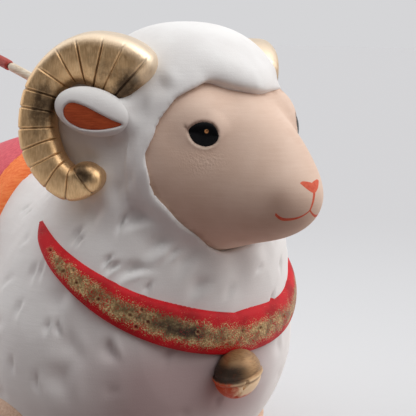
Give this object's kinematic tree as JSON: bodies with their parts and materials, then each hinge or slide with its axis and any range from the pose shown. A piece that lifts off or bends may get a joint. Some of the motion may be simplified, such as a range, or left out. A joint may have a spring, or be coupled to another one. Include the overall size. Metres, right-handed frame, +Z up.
{
  "type": "sheep figurine",
  "caption": "Resting sheep ornament in painted bisque with curled gold horns, a red collar with a bell, a saddle cloth and a lift-out stick behind the head.",
  "frame": {"origin": "on the resting face under the body, in the middle plane, just ahead of the pour hole", "axes": "+Z up, the sheep looks along -Y, its left side is +X"},
  "size_m": [0.0922, 0.1474, 0.1171],
  "materials": {
    "white_bisque": "matte white bisque",
    "peach_paint": "matte peach paint on bisque",
    "gold_paint": "brushed antique gold paint",
    "orange_paint": "matte brushed orange paint",
    "black_glaze": "gloss black",
    "red_paint": "satin red paint with gold sponging",
    "pink_paint": "matte pink paint",
    "border_paint": "matte orange paint",
    "pale_wood": "bare pale wood",
    "red_lacquer": "red lacquer"
  },
  "bodies": {
    "figurine": {"fleece": "white_bisque", "face": "peach_paint", "right_eye": "black_glaze", "left_eye": "black_glaze", "right_horn": "gold_paint", "left_horn": "gold_paint", "right_ear": "white_bisque", "left_ear": "white_bisque", "right_ear_lining": "orange_paint", "left_ear_lining": "orange_paint", "right_foreleg": "peach_paint", "left_foreleg": "peach_paint", "right_hind_leg": "peach_paint", "left_hind_leg": "peach_paint", "collar": "red_paint", "bell": "gold_paint", "saddle_front_border": "border_paint", "saddle_rear_border": "border_paint", "saddle_right_hem": "border_paint", "saddle_left_hem": "border_paint", "saddle_right_field": "pink_paint", "saddle_left_field": "pink_paint", "saddle_spine_band": "border_paint", "tail": "white_bisque"},
    "stick": {"back_stick": "pale_wood", "stick_tip": "red_lacquer"}
  },
  "joints": [
    {"name": "stick_lift", "type": "slide", "parent": "figurine", "child": "stick", "axis": [0, 0.9627, 0.2706], "range_m": [0, 0.014]}
  ]
}
